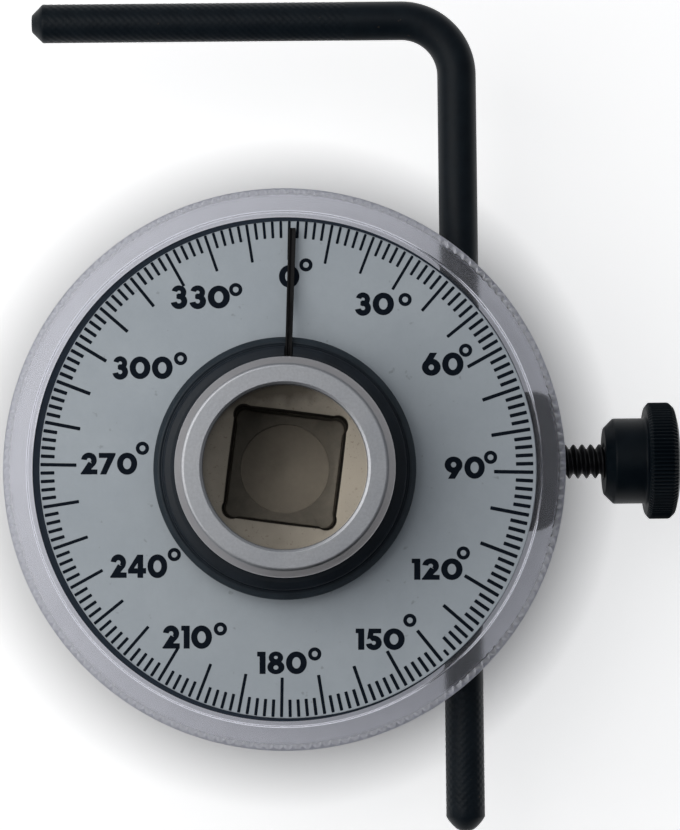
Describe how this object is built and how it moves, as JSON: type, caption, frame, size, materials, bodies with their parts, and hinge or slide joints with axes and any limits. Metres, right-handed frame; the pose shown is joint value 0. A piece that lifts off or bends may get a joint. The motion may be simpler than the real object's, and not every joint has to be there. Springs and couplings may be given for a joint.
{
  "type": "torque angle gauge",
  "caption": "Angle gauge that sits between a square-drive wrench and its socket: a pointer sweeps a turnable degree dial while a clamped L-shaped rod holds the housing still.",
  "frame": {"origin": "centre of the end face of the male square drive, on the spindle axis", "axes": "+Z along the spindle, out of the dial face; +Y toward the zero of the dial and along the long leg of the rod; +X toward the thumb screw"},
  "size_m": [0.0822, 0.102, 0.045],
  "materials": {
    "plated_steel": "satin plated, fine turning marks",
    "bearing_steel": "polished",
    "spring_steel": "drawn",
    "collar_black": "moulded, slight sheen",
    "needle_black": "matt black paint",
    "clear_plastic": "clear, slightly hazy rim",
    "scale_grey": "matt grey with dark print",
    "backing_black": "dark adhesive film",
    "nylon": "natural",
    "housing_black": "black coat on a casting",
    "bronze": "sintered",
    "seal_rubber": "smooth",
    "washer_steel": "zinc plated",
    "clip_black": "phosphated",
    "rod_black": "black oxide, knurled in part",
    "stud_black": "black oxide",
    "knob_black": "moulded, serrated",
    "brass": "turned"
  },
  "bodies": {
    "spindle": {"drive_spindle": "plated_steel", "detent_spring": "spring_steel", "pointer_collar": "collar_black", "pointer_needle": "needle_black", "rear_washer": "washer_steel", "rear_circlip": "clip_black"},
    "ball": {"detent_ball": "bearing_steel"},
    "housing": {"housing": "housing_black", "spindle_bush": "bronze", "spindle_seal": "seal_rubber", "front_thrust_washer": "nylon", "wave_washer": "spring_steel", "slip_washer": "nylon", "dial_snap_ring": "spring_steel"},
    "dial": {"dial_dish": "clear_plastic", "scale_backing": "backing_black", "scale_plate": "scale_grey"},
    "rod": {"reaction_rod": "rod_black"},
    "clamp": {"clamp_pad": "brass"},
    "screw": {"thumb_screw_stud": "stud_black", "thumb_knob": "knob_black"}
  },
  "joints": [
    {"name": "housing_turn", "type": "hinge", "parent": "spindle", "child": "housing", "pos_m": [0, 0, 0.0225], "axis": [0, 0, 1], "continuous": true},
    {"name": "dial_zero", "type": "hinge", "parent": "housing", "child": "dial", "pos_m": [0, 0, 0.0301], "axis": [0, 0, 1], "continuous": true},
    {"name": "rod_slide", "type": "slide", "parent": "housing", "child": "rod", "axis": [0, 1, 0], "range_m": [-0.033, 0.035]},
    {"name": "pad_advance", "type": "slide", "parent": "housing", "child": "clamp", "axis": [1, 0, 0], "range_m": [0, 0.00424]},
    {"name": "thumb_screw_turn", "type": "hinge", "parent": "clamp", "child": "screw", "pos_m": [0.0392, 0.0006, 0.0225], "axis": [1, 0, 0], "range_deg": [0, 1440]},
    {"name": "detent_press", "type": "slide", "parent": "spindle", "child": "ball", "axis": [0.134, 0.991, 0], "range_m": [0, 0.0009], "stiffness_N_per_m": 1500, "springref_m": -0.001, "deforming": ["detent_spring"]}
  ],
  "couplings": [
    {"joint": "thumb_screw_turn", "follows": "pad_advance", "rad_per_m": 5927.5}
  ]
}
